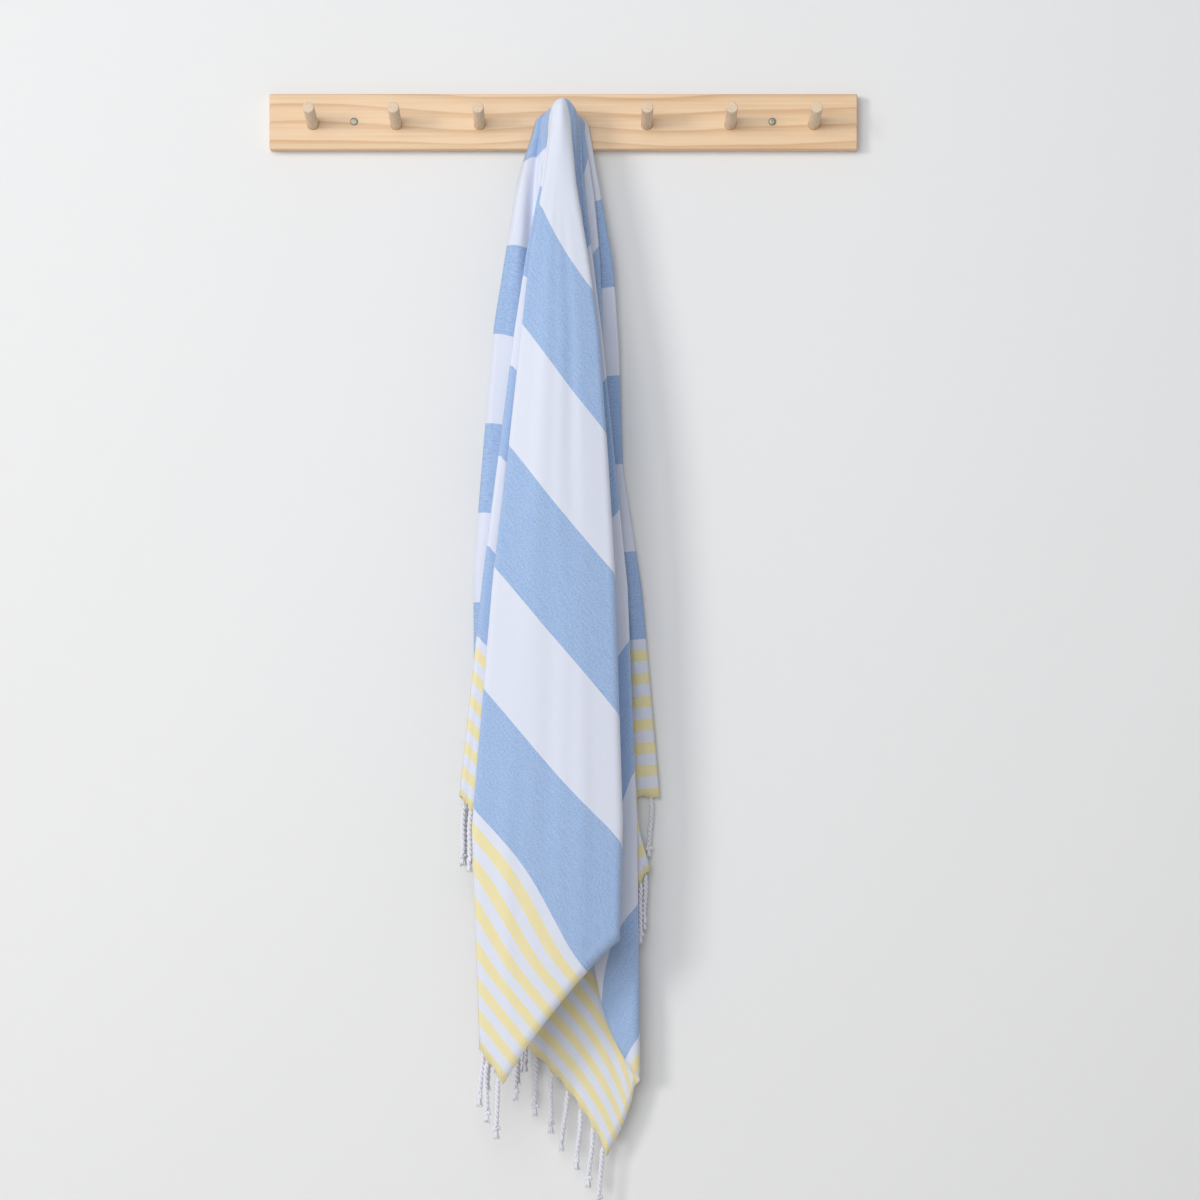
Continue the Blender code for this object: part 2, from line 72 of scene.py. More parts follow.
def add_piece(name, points, faces, material):
    """A smooth mesh piece of the object, from its points and faces."""
    mesh = bpy.data.meshes.new(name)
    mesh.from_pydata(points, [], faces)
    mesh.shade_smooth()
    mesh.materials.append(material)
    piece = bpy.data.objects.new(name, mesh)
    bpy.context.scene.collection.objects.link(piece)
    return piece


# %% [markdown]
# ## The camera
# The photograph was taken straight at the wall, from about four metres, with a long lens: the seven pegs
# show hardly any of their sides. A lens of about 98 mm on a 36 mm sensor takes in 1.48 m of the wall there.

# %% Camera
VIEW_WIDTH = 1.476
CAMERA_PLACE = (0.0449, -4.0, -0.5856)

camera_data = bpy.data.cameras.new("camera")
camera_data.sensor_width = 36.0
camera_data.lens = 36.0 * -CAMERA_PLACE[1] / VIEW_WIDTH
camera = bpy.data.objects.new("camera", camera_data)
camera.location = CAMERA_PLACE
camera.rotation_euler = (math.radians(90), 0.0, 0.0)
bpy.context.scene.collection.objects.link(camera)
bpy.context.scene.camera = camera
print(f"lens {camera_data.lens:.1f} mm")

# %% [markdown]
# ## Shader maths as Python
# Most finishes here are sums: where a stripe starts, how far a growth ring has drifted. A `Wire` is the
# output of a node that Python's own signs work on, and each sign adds one Math node. Every other node
# comes from `Finish.node`, which takes the node's type, its settings and what goes into its sockets.

# %% Wire and Finish
class Wire:
    """A value that varies over a surface."""

    def __init__(self, finish, socket):
        self.finish = finish
        self.socket = socket

    def maths(self, operation, first, second=0.0):
        return self.finish.node("ShaderNodeMath", {"operation": operation}, {0: first, 1: second})

    def __add__(self, other):
        return self.maths("ADD", self, other)

    def __radd__(self, other):
        return self.maths("ADD", other, self)

    def __sub__(self, other):
        return self.maths("SUBTRACT", self, other)

    def __rsub__(self, other):
        return self.maths("SUBTRACT", other, self)

    def __mul__(self, other):
        return self.maths("MULTIPLY", self, other)

    def __rmul__(self, other):
        return self.maths("MULTIPLY", other, self)

    def __truediv__(self, other):
        return self.maths("DIVIDE", self, other)

    def __lt__(self, other):
        return self.maths("LESS_THAN", self, other)

    def __gt__(self, other):
        return self.maths("GREATER_THAN", self, other)

    def __abs__(self):
        return self.maths("ABSOLUTE", self)

    def fraction(self):
        return self.maths("FRACT", self)

    def sine(self):
        return self.maths("SINE", self)


class Finish:
    """A material, with its Principled shader and the nodes that feed it."""

    def __init__(self, name, **constants):
        self.material = bpy.data.materials.new(name)
        self.material.use_nodes = True
        self.tree = self.material.node_tree
        self.shader = self.tree.nodes["Principled BSDF"]
        self.feed(**constants)

    def node(self, kind, settings=None, sockets=None, output=0):
        made = self.tree.nodes.new(kind)
        for key, value in (settings or {}).items():
            if key == "stops":
                self.set_stops(made.color_ramp, value)
            else:
                setattr(made, key, value)
        for key, value in (sockets or {}).items():
            if isinstance(value, Wire):
                self.tree.links.new(value.socket, made.inputs[key])
            else:
                made.inputs[key].default_value = value
        return Wire(self, made.outputs[output])

    def set_stops(self, ramp, stops):
        for element, (place, shade) in zip(ramp.elements, stops):
            element.position = place
            element.color = (shade, shade, shade, 1.0)
        for place, shade in stops[len(ramp.elements):]:
            ramp.elements.new(place).color = (shade, shade, shade, 1.0)

    def feed(self, **values):
        """Set or link sockets of the shader: base_color is the socket Base Color."""
        for key, value in values.items():
            socket = self.shader.inputs[key.replace("_", " ").title()]
            if isinstance(value, Wire):
                self.tree.links.new(value.socket, socket)
            elif isinstance(value, tuple):
                socket.default_value = (*value, 1.0)
            else:
                socket.default_value = value

    def mix(self, share, first, second):
        """From the first colour to the second one as the share goes from 0 to 1."""
        colours = [value if isinstance(value, Wire) else (*value, 1.0) for value in (first, second)]
        sockets = {0: share, 6: colours[0], 7: colours[1]}
        return self.node("ShaderNodeMix", {"data_type": "RGBA"}, sockets, 2)

    def parts(self, vector):
        """The three numbers of a vector."""
        split = self.node("ShaderNodeSeparateXYZ", {}, {0: vector})
        return [Wire(self, socket) for socket in split.socket.node.outputs]

    def join(self, x, y, z):
        return self.node("ShaderNodeCombineXYZ", {}, {0: x, 1: y, 2: z})

    def noise(self, vector, scale, detail=2.0):
        return self.node("ShaderNodeTexNoise", {}, {"Vector": vector, "Scale": scale, "Detail": detail})

    def ramp(self, value, *stops):
        return self.node("ShaderNodeValToRGB", {"stops": stops}, {0: value})

    def bump(self, height, distance, strength=1.0, normal=None):
        sockets = {"Height": height, "Distance": distance, "Strength": strength}
        if normal is not None:
            sockets["Normal"] = normal
        return self.node("ShaderNodeBump", {}, sockets)


print("shader helpers ready")

# %% [markdown]
# ## The wall, the floor and the light
# The wall and the floor are the stage, not the object. The wall is seen from its front only, so that a
# camera behind it still sees the back of the rail, and it is open behind the board, so that daylight gets
# there. The light in the photograph is very soft: each peg, and the towel, throws a pale shadow to the
# right. So one lamp stands far off on the left, a little above the rail, and a larger one, near the camera,
# lights the shadows. An even sky does the rest.

# %% Stage
FLOOR_Z = -1.72
STAGE_HALF = 6.0
BOARD_WIDTH = 0.720
BOARD_HEIGHT = 0.068
WALL_LAP = 4 * MM
WALL_GAP = 0.2 * MM

plaster = Finish("white_wall", base_color=(0.80, 0.81, 0.82), roughness=0.9)
seen_from_behind = plaster.node("ShaderNodeNewGeometry", {}, {}, "Backfacing")
open_air = plaster.node("ShaderNodeBsdfTransparent")
wall_surface = plaster.node("ShaderNodeMixShader", {}, {
    0: seen_from_behind, 1: Wire(plaster, plaster.shader.outputs[0]), 2: open_air})
plaster.tree.links.new(wall_surface.socket, plaster.tree.nodes["Material Output"].inputs[0])
pale_floor = Finish("pale_floor", base_color=(0.56, 0.52, 0.48), roughness=0.8)


def upright_corners(half_width, low, high):
    """The corners of an upright rectangle in the wall's plane."""
    corners = [(-half_width, low), (half_width, low), (half_width, high), (-half_width, high)]
    return [(x, 0.0, z) for x, z in corners]


opening_half = 0.5 * BOARD_HEIGHT - WALL_LAP
outer = upright_corners(STAGE_HALF, FLOOR_Z, STAGE_HALF)
opening = upright_corners(0.5 * BOARD_WIDTH - WALL_LAP, -opening_half, opening_half)
ring = [(k, (k + 1) % 4, (k + 1) % 4 + 4, k + 4) for k in range(4)]
wall = add_piece("wall", outer + opening, ring, plaster.material)
wall.location.y = WALL_GAP
floor_corners = [(x * STAGE_HALF, y * STAGE_HALF, FLOOR_Z) for x, y in ((-1, -1), (1, -1), (1, 1), (-1, 1))]
floor = add_piece("floor", floor_corners, [(0, 1, 2, 3)], pale_floor.material)
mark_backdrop(wall, floor)
print("floor", round(-FLOOR_Z, 2), "m below the rail")


# %% Lights
def add_lamp(name, place, aim, size, power, colour):
    """A square soft lamp at a place, turned to what it lights."""
    data = bpy.data.lights.new(name, "AREA")
    data.size = size
    data.energy = power
    data.color = colour
    lamp = bpy.data.objects.new(name, data)
    lamp.location = place
    x, y, z = (a - b for a, b in zip(aim, place))
    lamp.rotation_euler = (math.acos(-z / math.hypot(x, y, z)), 0.0, math.atan2(-x, y))
    bpy.context.scene.collection.objects.link(lamp)


TOWEL_MIDDLE = (0.0, -0.06, -0.6)
add_lamp("left_softbox", (-5.0, -6.0, 0.8), TOWEL_MIDDLE, 1.8, 200.0, (1.0, 0.985, 0.96))
add_lamp("front_softbox", (-1.0, -4.6, 0.6), TOWEL_MIDDLE, 2.6, 92.0, (0.98, 0.99, 1.0))

world = bpy.data.worlds.new("studio")
world.use_nodes = True
world.node_tree.nodes["Background"].inputs["Color"].default_value = (0.94, 0.96, 1.0, 1.0)
world.node_tree.nodes["Background"].inputs["Strength"].default_value = 0.39
bpy.context.scene.world = world
bpy.context.scene.view_settings.view_transform = "Standard"
print("two lamps and an even sky")

# %% [markdown]
# ## How the cloth hangs
# A cloth held at one point near its edge falls as a fan of lines, and each line hangs almost straight down.
# A line is known by its angle in the flat cloth: 0 degrees runs along the held edge to the left, 180 to the
# right. The fan is pleated, and the table has a row for each pleat. The solids come from the same table, so
# the fine cloth made here lies in the same folds.

# %% The cloth and the peg under it
# The ridge is the short line, near the middle of one long edge, on which the cloth lies along the peg.
# Its two ends are given as width and length in the flat cloth.
CLOTH_WIDTH = 1.00
CLOTH_LENGTH = 1.80
CLOTH_THICKNESS = 0.9 * MM
RIDGE_BACK = (0.0, 0.942)
RIDGE_FRONT = (0.100, 0.846)
# The crest is the ridge where it hangs: its two ends along the peg, how high it lies over the peg's axis
# there, and how far the cloth falls from it within the first radius.
CREST_BACK_Y = -23 * MM
CREST_FRONT_Y = -78 * MM
CREST_LIFT_BACK = 9.6 * MM
CREST_LIFT_FRONT = 11.4 * MM
CREST_FALL = 16 * MM
START_RADIUS = 31 * MM
BOARD_DEPTH = 19 * MM
PEG_BASE_Z = -3 * MM
PEG_TILT = math.radians(10.5)
print(f"a cloth of {CLOTH_WIDTH:.2f} x {CLOTH_LENGTH:.2f} m")

# %% [markdown]
# ## The table of pleats
# Each row is one edge at which the cloth turns back, or a selvedge, from the left one round to the right one.
#
# - side: -1 if the edge points to the left, 1 if it points to the right.
# - angle, spread, flare: the pleat's angle in the cloth, what it gains near the peg, and at its lower end.
# - crest, ridge: where the pleat starts along the peg, 0 at the wall and 1 at the tip, on the crest and
#   further down.
# - top, layer, low: depth at the peg, of the cloth after the pleat, and at its lowest end, in millimetres.
# - slack, gather: millimetres that creases take up near the peg, and the share that they take up low down.
# - x30 to x1250: place across, in millimetres, at distances of 30 to 1250 mm from the peg.

# %% Pleats
Fold = namedtuple("Fold", "name side angle spread flare crest ridge top layer low slack gather "
                          "x30 x120 x200 x300 x450 x600 x900 x1250")
RADII = (0.030, 0.120, 0.200, 0.300, 0.450, 0.600, 0.900, 1.250)
FOLDS = [
    Fold("selvedge_left", -1, 0, 0, 0, 0, 0, -36, -76, -76, 12, 0,
         -34, -54, -67, -83, -96, -108, -106, -100),
    Fold("left_return", 1, 3, 2, 0, 0.3, 0.05, -58, -85, -85, 10, 0, -20, -12, -4, 4, 21, 38, 50, 50),
    Fold("left_roll", -1, 9, 3.8, 0, 1, 1, -70, -94, -94, 0, 0, -13, -27, -43, -58, -77, -96, -128, -128),
    Fold("left_tuck", 1, 28, 1.6, 0, 1, 1, -77, -105, -104, 0, 0.15, -14, -6, -3, 0, 12, 24, 46, 50),
    Fold("front_left", -1, 42.2, 0, 2.5, 1, 1, -84, -118, -112, 0, 0.055,
         -12, -23, -38, -49, -65, -83, -108, -97),
    Fold("front_right", 1, 49.2, 5.55, 3, 1, 1, -84, -62, -68, 0, 0.19, 8, 16, 29, 43, 54, 63, 72, 64),
    Fold("inner_1", -1, 63.3, 4.44, 1, 1, 1, -79, -58, -63, 0, 0.12, 13, 3, -8, -22, -36, -50, -70, -60),
    Fold("inner_2", 1, 77.4, 3.33, 0, 1, 1, -73, -54, -59, 0, 0, 15, 18, 24, 30, 39, 48, 62, 54),
    Fold("inner_3", -1, 91.4, 2.22, 0, 1, 1, -67, -50, -55, 0, 0, 17, 3, -7, -20, -36, -52, -70, -60),
    Fold("inner_4", 1, 105.4, 1.11, 0, 1, 1, -61, -46, -51, 0, 0, 17, 21, 27, 32, 41, 50, 66, 66),
    Fold("right_left", -1, 119.5, 0, 0, 1, 1, -55, -41, -46, 0, 0, 18, 5, -5, -18, -35, -52, 20, 46),
    Fold("right_roll", 1, 132.8, -1.7, 0, 1, 1, -49, -34, -32, 0, 0, 20, 26, 36, 48, 63, 78, 90, 94),
    Fold("corner_fold", -1, 144, 0, 0, 1, 1, -44, -26, -25, 0, 0.09, 21, 8, -5, -22, -34, -46, -80, -60),
    Fold("right_tuck", 1, 160, 0, 0, 0.6, 0.5, -38, -18, -18, 0, 0.1, 24, 38, 45, 48, 55, 74, 92, 180),
    Fold("right_return", -1, 170, 0, 0, 0.12, 0.02, -31, -10, -10, 0, 0, 27, 18, 10, 2, -13, -28, -44, -44),
    Fold("selvedge_right", 1, 180, 0, 0, 0, 0, -24, -10, -10, 0, 0, 31, 47, 61, 68, 73, 96, 122, 124),
]
print(len(FOLDS) - 2, "pleats between two selvedges")

# %% Exceptions of single layers
# How far the middle of a layer stands out (minus) or sinks in (plus), in millimetres.
BULGE = {"front_left": -9, "left_roll": -2, "right_return": 2}
# A layer that rolls round its first edge shows its lines closer together there, or at its second edge where
# the first number is negative. The roll starts and is complete at the next two radii, in metres, and the
# last number is the share of the even spacing that is kept.
ROLL = {"left_roll": (0.60, 0.15, 0.40, 0.0), "front_left": (0.05, 0.80, 1.05, 0.0),
        "right_left": (3.50, 0.85, 1.00, 0.25), "right_roll": (0.55, 0.80, 1.15, 0.0),
        "right_return": (-0.35, 0.50, 0.80, 0.0)}
# The part of a turn's depth that lies in front of its edge, where it isn't a half.
FRONT_SHARE = {"front_right": 0.14}
print("layers that roll:", ", ".join(ROLL))

# %% How the folds change on their way down
# Near the peg the layers lie closer together: their depths are drawn in towards this one, in millimetres,
# to this share of their distance from it.
LAYER_CENTRE = -60
NEAR_DEPTH = 0.72
# A turn is at most this wide. Its length along the cloth is near that of a quarter of an ellipse, and at
# most this share of the layer.
TURN_WIDTH = 14 * MM
QUARTER_ARC = 0.78
WIDEST_ARC = 0.42
# The front layer swells over the peg's tip.
CREST_SWELL = 9 * MM
# Angles drift by their spread over the radius plus this offset, and slack is used up at this radius.
SPREAD_OFFSET = 0.090
SLACK_END = 0.100
# Near the crest most lines of a layer draw in to its middle, the more the higher this power is.
EVEN_POWER = 4
# Rows are closer near the peg. A step that moves sideways keeps at least this share of its fall, squared.
ROW_POWER = 1.2
LEAST_FALL = 0.1
# Each pair of radii, in metres, is where a change begins and where it is complete.
RIDGE_RADII = (0.04, 0.25)
EVEN_RADII = (0.05, 0.25)
HANGS_FREE = (0.035, 0.15)
SWELL_RADII = (0.05, 0.4)
SPREADS_OUT = (0.18, 0.5)
FLARE_RADII = (0.9, 1.1)
GATHER_RADII = (0.75, 0.95)
LOW_RADII = (0.85, 1.15)
print("the cloth hangs free from", HANGS_FREE[1], "m down")

# %% [markdown]
# ## Soft creases
# Between its pleats the real cloth isn't flat: it has long soft troughs and ridges that start at the peg and
# die out, and a few short ones low down. They are too fine for the solids, so they are listed here.
# A row names the layer, the crease's place across it and its half width, as shares of the layer, its two
# ends in metres from the peg, and how many millimetres it stands out (minus) or sinks in (plus). Those that
# start before the peg are already under way on the crest.

# %% The creases of each layer
Crease = namedtuple("Crease", "layer across half_width start end height")
CREASES = [
    Crease("front_left", 0.30, 0.16, 0.10, 0.75, -2.2),
    Crease("front_left", 0.66, 0.14, 0.14, 0.62, 2.0),
    Crease("front_left", 0.50, 0.12, 0.55, 1.10, 1.6),
    Crease("front_left", 0.22, 0.10, 0.75, 1.20, -1.8),
    Crease("front_left", 0.76, 0.10, 0.60, 1.15, -1.5),
    Crease("selvedge_left", 0.22, 0.16, -0.04, 0.30, -5.0),
    Crease("selvedge_left", 0.48, 0.16, -0.04, 0.34, 7.0),
    Crease("selvedge_left", 0.72, 0.14, -0.04, 0.26, -5.0),
    Crease("selvedge_left", 0.60, 0.16, 0.30, 0.80, 2.4),
    Crease("left_roll", 0.30, 0.14, 0.25, 0.75, 2.6),
    Crease("left_roll", 0.55, 0.14, 0.10, 0.60, -2.0),
    Crease("left_roll", 0.20, 0.10, 0.70, 1.05, -1.6),
    Crease("right_return", 0.40, 0.14, 0.08, 0.45, -2.0),
    Crease("right_return", 0.55, 0.10, 0.42, 0.86, -2.6),
    Crease("right_return", 0.74, 0.09, 0.50, 0.86, 2.6),
    Crease("right_return", 0.88, 0.07, 0.52, 0.86, -2.2),
    Crease("front_right", 0.30, 0.10, 0.60, 1.20, 1.2),
    Crease("right_left", 0.82, 0.12, 0.20, 0.90, -1.6),
    Crease("right_roll", 0.30, 0.12, 0.95, 1.25, 1.8),
]


def smoothstep(low, high, value):
    """From 0 at the low end to 1 at the high one, level at both."""
    share = min(max((value - low) / (high - low), 0.0), 1.0)
    return share * share * (3.0 - 2.0 * share)


EDGE_FADE = 8.0


def crease_depth(layer, across, radius):
    """How far the creases of a layer move a point of it, less and less towards the layer's edges."""
    depth = 0.0
    for crease in CREASES:
        if crease.layer == layer and crease.start < radius < crease.end:
            side = abs(across - crease.across) / crease.half_width
            if side < 1.0:
                run = (radius - crease.start) / (crease.end - crease.start)
                depth += crease.height * MM * math.sin(math.pi * run) * (1.0 - smoothstep(0.0, 1.0, side))
    return depth * min(1.0, EDGE_FADE * across * (1.0 - across))


print(len(CREASES), "creases")

# %% [markdown]
# ## From the flat cloth to its place
# `cloth_point` says where a point is in the flat cloth, and `plan_point` where it hangs, seen from above:
# across in one layer, then round the pleat's turn into the next one. `column_points` lets a line fall: a
# step along the cloth that moves sideways falls by less, so that no part of the cloth is stretched.

# %% In the flat cloth
def ridge_point(share):
    """A point of the ridge in the flat cloth, from 0 at the wall to 1 at the peg's tip."""
    back, front = np.array(RIDGE_BACK), np.array(RIDGE_FRONT)
    return back + (front - back) * share


def fold_angle(fold, radius):
    """The pleat's angle in the flat cloth, in degrees."""
    spread = fold.spread / (radius + SPREAD_OFFSET)
    return fold.angle + spread + fold.flare * smoothstep(*FLARE_RADII, radius)


def fold_ridge(fold, radius):
    """The share of the ridge from which the pleat is counted."""
    return fold.ridge + (fold.crest - fold.ridge) * (1.0 - smoothstep(*RIDGE_RADII, radius))


def cloth_point(panel, share, radius):
    """Width and length in the cloth, at a share of the way across a panel and a distance from the ridge."""
    first, second = FOLDS[panel], FOLDS[panel + 1]
    start_ridge = fold_ridge(first, radius)
    origin = ridge_point(start_ridge + (fold_ridge(second, radius) - start_ridge) * share)
    start_angle = fold_angle(first, radius)
    angle = math.radians(start_angle + (fold_angle(second, radius) - start_angle) * share)
    return origin + radius * np.array([math.sin(angle), -math.cos(angle)])


# %% [markdown]
# ## The scalloped hem
# The warp ends are gathered into a strand every 30 mm, and each strand's weight draws the hem down to a
# point, with a shallow arch up to the next one. Only the two short ends of the cloth have it, the long
# edges are plain selvedges. The strands stand a little off the folds, as in the solids.

# %% Where the strands leave the hem
STRAND_PITCH = 30 * MM
STRAND_CLEARANCE = 12 * MM
SCALLOP_SHARE = 0.19
SHORTEST, LONGEST = 0.5, 1.5
HALVINGS = 30
SAME_HEM = 0.1 * MM


def reach(panel, share, scallop=None):
    """Distance from the ridge at which a line leaves the cloth, found by halving."""
    low, high = SHORTEST, LONGEST
    for _ in range(HALVINGS):
        middle = 0.5 * (low + high)
        width, length = cloth_point(panel, share, middle)
        rise = scallop(width, length) if scallop else 0.0
        if width < CLOTH_WIDTH and rise < length < CLOTH_LENGTH - rise:
            low = middle
        else:
            high = middle
    return low


def strand_places(hem_length):
    """Places across the cloth at which strands leave the hem at that length of it."""
    ends = [cloth_point(panel, 0.0, reach(panel, 0.0)) for panel in range(len(FOLDS) - 1)]
    ends.append(cloth_point(len(FOLDS) - 2, 1.0, reach(len(FOLDS) - 2, 1.0)))
    folds = [end[0] for end in ends if abs(end[1] - hem_length) < SAME_HEM]
    count = round(CLOTH_WIDTH / STRAND_PITCH)
    places = []
    for k in range(count):
        place = (k + 0.5) * CLOTH_WIDTH / count
        nearest = min(folds, key=lambda fold: abs(fold - place))
        if abs(place - nearest) < STRAND_CLEARANCE:
            place = nearest + math.copysign(STRAND_CLEARANCE, place - nearest)
        places.append(place)
    return places


HEM_STRANDS = {0.0: strand_places(0.0), CLOTH_LENGTH: strand_places(CLOTH_LENGTH)}


def scallop(width, length):
    """How far the hem is drawn up between two strands."""
    places = [0.0, *HEM_STRANDS[0.0 if length < 0.5 * CLOTH_LENGTH else CLOTH_LENGTH], CLOTH_WIDTH]
    number = min(max(int(np.searchsorted(places, width)), 1), len(places) - 1)
    start, end = places[number - 1], places[number]
    between = min(max((width - start) / (end - start), 0.0), 1.0)
    return SCALLOP_SHARE * (end - start) * math.sin(math.pi * between)


print(len(HEM_STRANDS[0.0]), "strands on each hem")


# %% In the room
def fold_across(fold, radius):
    """The pleat's place across."""
    places = (fold.x30, fold.x120, fold.x200, fold.x300, fold.x450, fold.x600, fold.x900, fold.x1250)
    return float(np.interp(radius, RADII, places)) * MM


def layer_depth(fold, radius):
    """Depth of the layer of cloth that follows a fold."""
    apart = NEAR_DEPTH + (1.0 - NEAR_DEPTH) * smoothstep(*SPREADS_OUT, radius)
    hang = LAYER_CENTRE + (fold.layer - LAYER_CENTRE) * apart
    low = fold.low + (hang - fold.layer)
    return (hang + (low - hang) * smoothstep(*LOW_RADII, radius)) * MM


def turn_depths(index, radius):
    """Depths of a turn before its edge and after it. A selvedge has none."""
    if index in (0, len(FOLDS) - 1):
        return 0.0, 0.0
    depth = layer_depth(FOLDS[index], radius) - layer_depth(FOLDS[index - 1], radius)
    front = FRONT_SHARE.get(FOLDS[index].name, 0.5) * depth
    return front, depth - front


def plan_point(panel, share, radius):
    """Place across and in depth of a point of the cloth, seen from above."""
    first, second = FOLDS[panel], FOLDS[panel + 1]
    x_first, x_second = fold_across(first, radius), fold_across(second, radius)
    layer = layer_depth(first, radius)
    flat = np.linalg.norm(cloth_point(panel, 0.0, radius) - cloth_point(panel, 1.0, radius))
    turns = [turn_depths(panel, radius)[1], -turn_depths(panel + 1, radius)[0]]
    widths = [min(abs(turn), TURN_WIDTH) for turn in turns]
    arcs = [min(QUARTER_ARC * (abs(turn) + width), WIDEST_ARC * flat) for turn, width in zip(turns, widths)]
    along = share * flat
    x_start = x_first - first.side * widths[0]
    x_end = x_second - second.side * widths[1]
    if arcs[0] > 0 and along < arcs[0]:
        phase = 0.5 * math.pi * along / arcs[0]
        hung = (x_start + first.side * widths[0] * math.cos(phase),
                layer - turns[0] * (1 - math.sin(phase)))
    elif arcs[1] > 0 and flat - along < arcs[1]:
        phase = 0.5 * math.pi * (flat - along) / arcs[1]
        hung = (x_end + second.side * widths[1] * math.cos(phase),
                layer - turns[1] * (1 - math.sin(phase)))
    else:
        run = (along - arcs[0]) / (flat - arcs[0] - arcs[1])
        bulge = BULGE.get(first.name, 0.0) * MM * math.sin(math.pi * run) * smoothstep(*SWELL_RADII, radius)
        bulge += crease_depth(first.name, run, radius)
        if first.name in ROLL:
            roll, sets_in, full, even = ROLL[first.name]
            rolled = run ** (1.0 + roll * smoothstep(sets_in, full, radius))
            run = even * run + (1.0 - even) * rolled
        hung = (x_start + (x_end - x_start) * run, layer + bulge)
    depth = (first.top + (second.top - first.top) * share) * MM
    if first.name == "front_left":
        depth -= CREST_SWELL * math.sin(math.pi * share)
    depth += crease_depth(first.name, share, radius)
    near = (x_first + (x_second - x_first) * share, depth)
    blend = smoothstep(*HANGS_FREE, radius)
    return np.array(near) * (1.0 - blend) + np.array(hung) * blend


def crest_z(y):
    """Height of the crest, which rests on the peg at the back and clears the rim of its tip."""
    share = (y - CREST_BACK_Y) / (CREST_FRONT_Y - CREST_BACK_Y)
    peg_axis = PEG_BASE_Z + (-y - BOARD_DEPTH) * math.tan(PEG_TILT)
    return peg_axis + CREST_LIFT_BACK + (CREST_LIFT_FRONT - CREST_LIFT_BACK) * share


def fall_share(panel, share, radius):
    """How much of a length of cloth is left for its fall, when small creases have taken up theirs."""
    first, second = FOLDS[panel], FOLDS[panel + 1]
    gather = first.gather + (second.gather - first.gather) * share
    left = 1.0 - gather * smoothstep(*GATHER_RADII, radius)
    if radius < SLACK_END:
        slack = first.slack + (second.slack - first.slack) * share
        left -= slack * MM / (SLACK_END - START_RADIUS)
    return left


def spread_share(share, radius):
    """The share across a panel that a line has near the crest, where most lines draw in to its middle."""
    offset = 2.0 * share - 1.0
    even = 0.5 + 0.5 * offset * abs(offset) ** EVEN_POWER
    return even + (share - even) * smoothstep(*EVEN_RADII, radius)


print("fold functions ready")

# %% [markdown]
# ## The fine cloth
# The lines are hung one by one, about 6 mm apart at their lower ends, and faces are laid between them.
# Each point also keeps its place in the flat cloth, in metres, because the stripes and the weave belong to
# the cloth and follow it round every fold.

# %% Hang the lines
CREST_ROWS = (0.12, 0.28, 0.44, 0.60, 0.75, 0.88)
ROW_COUNT = 62
LONGEST_STEP = 12 * MM
LINE_PITCH = 6.2 * MM
FEWEST_LINES = 14


def column_points(panel, share):
    """One line of the cloth: its points in the room, and their places in the flat cloth."""
    start = plan_point(panel, spread_share(share, START_RADIUS), START_RADIUS)
    foot = np.array([0.0, min(max(start[1], CREST_FRONT_Y), CREST_BACK_Y)])
    top = crest_z(foot[1])
    points, places = [], []
    for part in CREST_ROWS:
        phase = 0.5 * math.pi * part
        place = foot + (start - foot) * math.sin(phase)
        points.append((place[0], place[1], top - CREST_FALL * (1.0 - math.cos(phase))))
        places.append(cloth_point(panel, spread_share(share, START_RADIUS * part), START_RADIUS * part))
    height = top - CREST_FALL
    radius, place = START_RADIUS, start
    points.append((place[0], place[1], height))
    places.append(cloth_point(panel, spread_share(share, radius), radius))
    end = reach(panel, share, scallop)
    for row in range(1, ROW_COUNT + 1):
        goal = START_RADIUS + (end - START_RADIUS) * (row / ROW_COUNT) ** ROW_POWER
        steps = max(math.ceil((goal - radius) / LONGEST_STEP), 1)
        step = (goal - radius) / steps
        for _ in range(steps):
            radius += step
            moved = plan_point(panel, spread_share(share, radius), radius)
            sideways = float(np.linalg.norm(moved - place))
            fall = math.sqrt(max(step * step - sideways * sideways, LEAST_FALL * step * step))
            height -= fall * fall_share(panel, share, radius)
            place = moved
        points.append((place[0], place[1], height))
        places.append(cloth_point(panel, spread_share(share, radius), radius))
    return points, places


def corner_share(panel, length):
    """Share across a panel of the line that ends in the far corner at the given length."""
    origin = ridge_point(FOLDS[panel].ridge)
    across, along = CLOTH_WIDTH - origin[0], length - origin[1]
    radius = math.hypot(across, along)
    angle = math.degrees(math.atan2(across, -along))
    start_angle = fold_angle(FOLDS[panel], radius)
    return (angle - start_angle) / (fold_angle(FOLDS[panel + 1], radius) - start_angle)


def line_shares(panel):
    """Shares across a panel at which its lines hang, with one through each far corner."""
    ends = [cloth_point(panel, share, reach(panel, share)) for share in (0.0, 0.5, 1.0)]
    width = np.linalg.norm(ends[1] - ends[0]) + np.linalg.norm(ends[2] - ends[1])
    count = max(FEWEST_LINES, math.ceil(width / LINE_PITCH))
    shares = [k / count for k in range(count)]
    if FOLDS[panel].name == "front_left":
        shares.append(corner_share(panel, 0.0))
    if FOLDS[panel].name == "right_roll":
        shares.append(corner_share(panel, CLOTH_LENGTH))
    return sorted(shares)


lines = [(panel, share) for panel in range(len(FOLDS) - 1) for share in line_shares(panel)]
lines.append((len(FOLDS) - 2, 1.0))
hung = [column_points(panel, share) for panel, share in lines]
grid = np.array([points for points, _ in hung])
places = np.array([row for _, row in hung])
print(len(lines), "lines of", grid.shape[1], "points")

